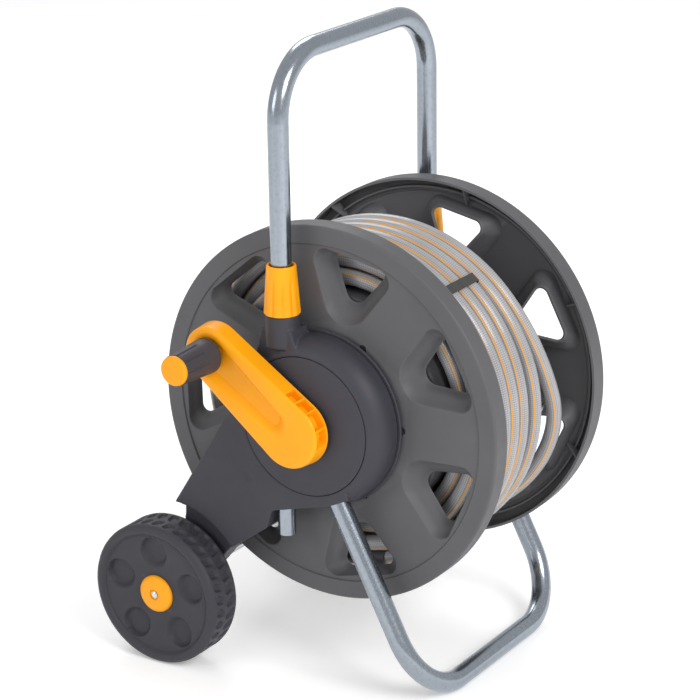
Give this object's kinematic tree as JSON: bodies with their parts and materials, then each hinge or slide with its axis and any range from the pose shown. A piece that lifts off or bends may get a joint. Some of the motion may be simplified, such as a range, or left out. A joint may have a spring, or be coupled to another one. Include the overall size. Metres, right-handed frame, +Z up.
{
  "type": "garden hose reel cart",
  "caption": "Two-wheeled garden hose cart: crank-driven reel between side covers, sliding steel handle, steel foot tube and a wound hose.",
  "frame": {"origin": "on the ground under the middle of the cart's box", "axes": "+Z up, +Y towards the wheels, +X away from the crank's side"},
  "size_m": [0.46, 0.4608, 0.6892],
  "materials": {
    "flange_plastic": "satin moulded plastic, fine grain",
    "core_plastic": "satin moulded plastic",
    "cover_plastic": "fine grained moulded plastic",
    "yellow_plastic": "semi-gloss moulded plastic",
    "grip_plastic": "fine grained moulded plastic",
    "tube_steel": "galvanised and lightly brushed",
    "axle_steel": "bright zinc",
    "wheel_plastic": "matt moulded plastic, textured tread",
    "bearing_plastic": "natural acetal",
    "hose_skin": "clear skin over grey braid with thin orange lines",
    "fitting_plastic": "moulded plastic",
    "strap_webbing": "woven webbing",
    "seal_rubber": "black"
  },
  "bodies": {
    "base": {"left_side_frame": "cover_plastic", "right_side_frame": "cover_plastic", "left_side_cover": "cover_plastic", "right_side_cover": "cover_plastic", "left_hub_cap": "cover_plastic", "right_hub_cap": "cover_plastic", "foot_tube": "tube_steel", "foot_screws": "axle_steel", "wheel_axle": "axle_steel", "cover_screws": "axle_steel", "left_bearing": "bearing_plastic", "right_bearing": "bearing_plastic", "left_collet": "grip_plastic", "right_collet": "grip_plastic", "inlet_housing": "cover_plastic", "inlet_spigot": "fitting_plastic", "left_wheel_cap": "yellow_plastic", "right_wheel_cap": "yellow_plastic", "wheel_cap_screws": "axle_steel"},
    "drum": {"left_flange": "flange_plastic", "right_flange": "flange_plastic", "drum_core": "core_plastic", "drum_screws": "axle_steel", "hub_journal": "yellow_plastic", "water_shaft": "cover_plastic", "shaft_seal": "seal_rubber", "crank_arm": "yellow_plastic", "crank_screw": "axle_steel", "grip_pin": "axle_steel", "hose_elbow": "fitting_plastic", "hose_clamp": "axle_steel", "hose_coil": "hose_skin", "hose_connector": "fitting_plastic", "hose_strap": "strap_webbing"},
    "grip": {"crank_grip": "grip_plastic", "grip_cap": "yellow_plastic"},
    "handle": {"handle_tube": "tube_steel", "left_handle_end": "tube_steel", "right_handle_end": "tube_steel"},
    "collar_left": {"left_collar": "yellow_plastic"},
    "collar_right": {"right_collar": "yellow_plastic"},
    "wheel_left": {"left_wheel": "wheel_plastic", "left_wheel_bush": "bearing_plastic"},
    "wheel_right": {"right_wheel": "wheel_plastic", "right_wheel_bush": "bearing_plastic"}
  },
  "joints": [
    {"name": "drum_turn", "type": "hinge", "parent": "base", "child": "drum", "pos_m": [0.022, -0.0254, 0.2969], "axis": [1, 0, 0], "continuous": true},
    {"name": "grip_turn", "type": "hinge", "parent": "drum", "child": "grip", "pos_m": [-0.198, 0.07057, 0.36844], "axis": [1, 0, 0], "continuous": true},
    {"name": "handle_slide", "type": "slide", "parent": "base", "child": "handle", "axis": [0, 0, 1], "range_m": [-0.11, 0.15]},
    {"name": "left_collar_turn", "type": "hinge", "parent": "base", "child": "collar_left", "pos_m": [-0.1228, 0.0075, 0.4369], "axis": [0, 0, 1], "range_deg": [0, 120]},
    {"name": "right_collar_turn", "type": "hinge", "parent": "base", "child": "collar_right", "pos_m": [0.1668, 0.0075, 0.4369], "axis": [0, 0, 1], "range_deg": [0, 120]},
    {"name": "left_wheel_turn", "type": "hinge", "parent": "base", "child": "wheel_left", "pos_m": [-0.152, 0.15, 0.0804], "axis": [1, 0, 0], "continuous": true},
    {"name": "right_wheel_turn", "type": "hinge", "parent": "base", "child": "wheel_right", "pos_m": [0.196, 0.15, 0.0804], "axis": [1, 0, 0], "continuous": true}
  ]
}
